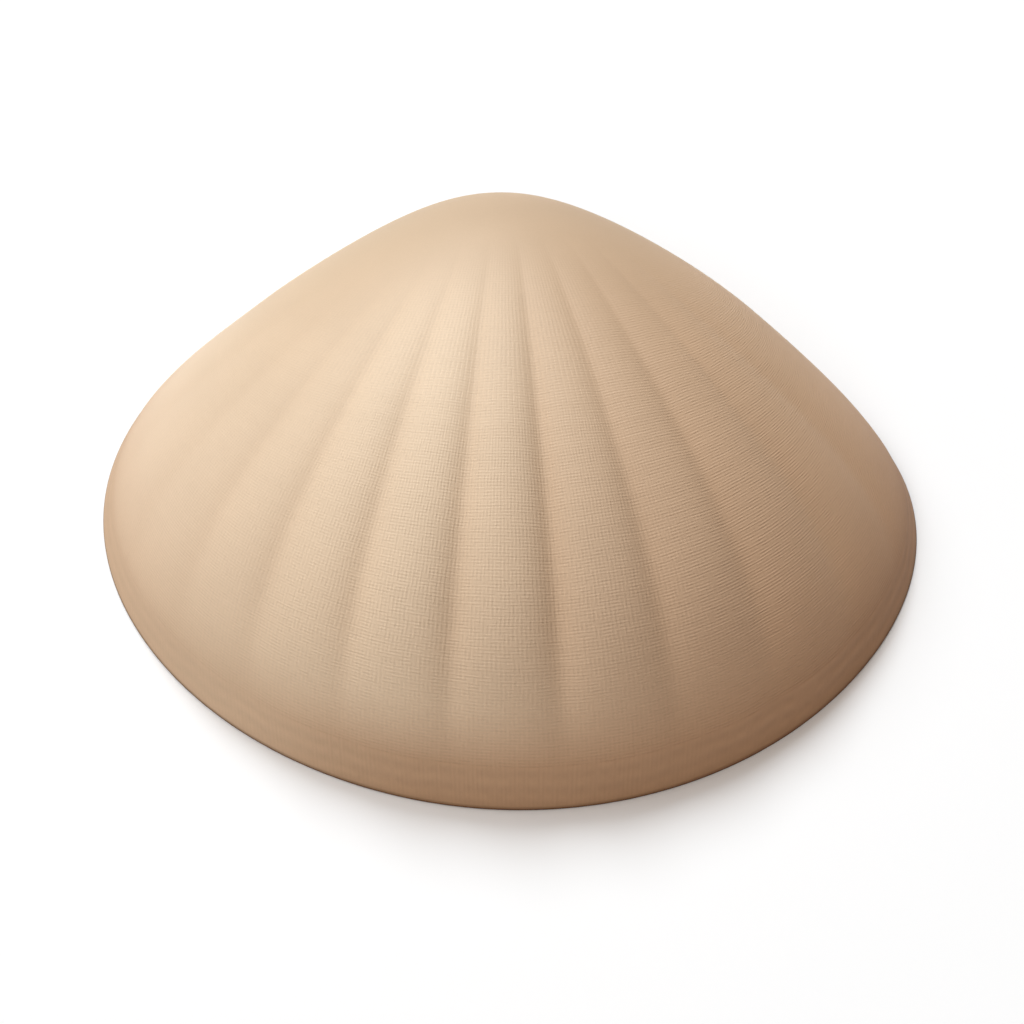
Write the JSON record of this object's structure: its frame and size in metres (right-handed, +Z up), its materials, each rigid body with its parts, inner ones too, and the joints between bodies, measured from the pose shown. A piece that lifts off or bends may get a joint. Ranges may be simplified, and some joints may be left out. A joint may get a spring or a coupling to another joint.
{
  "type": "clam shell",
  "caption": "One valve of a tan clam shell, hollow side down, with low rounded ribs fanning out from the umbo.",
  "frame": {"origin": "middle of the valve's length and width, on the surface that its margin rests on", "axes": "+X along the shell's length, +Y towards the hinge and beak, +Z up through the domed outside"},
  "size_m": [0.08, 0.067, 0.0208],
  "materials": {
    "shell": "satin"
  },
  "bodies": {
    "root": {"valve": "shell"}
  },
  "joints": []
}
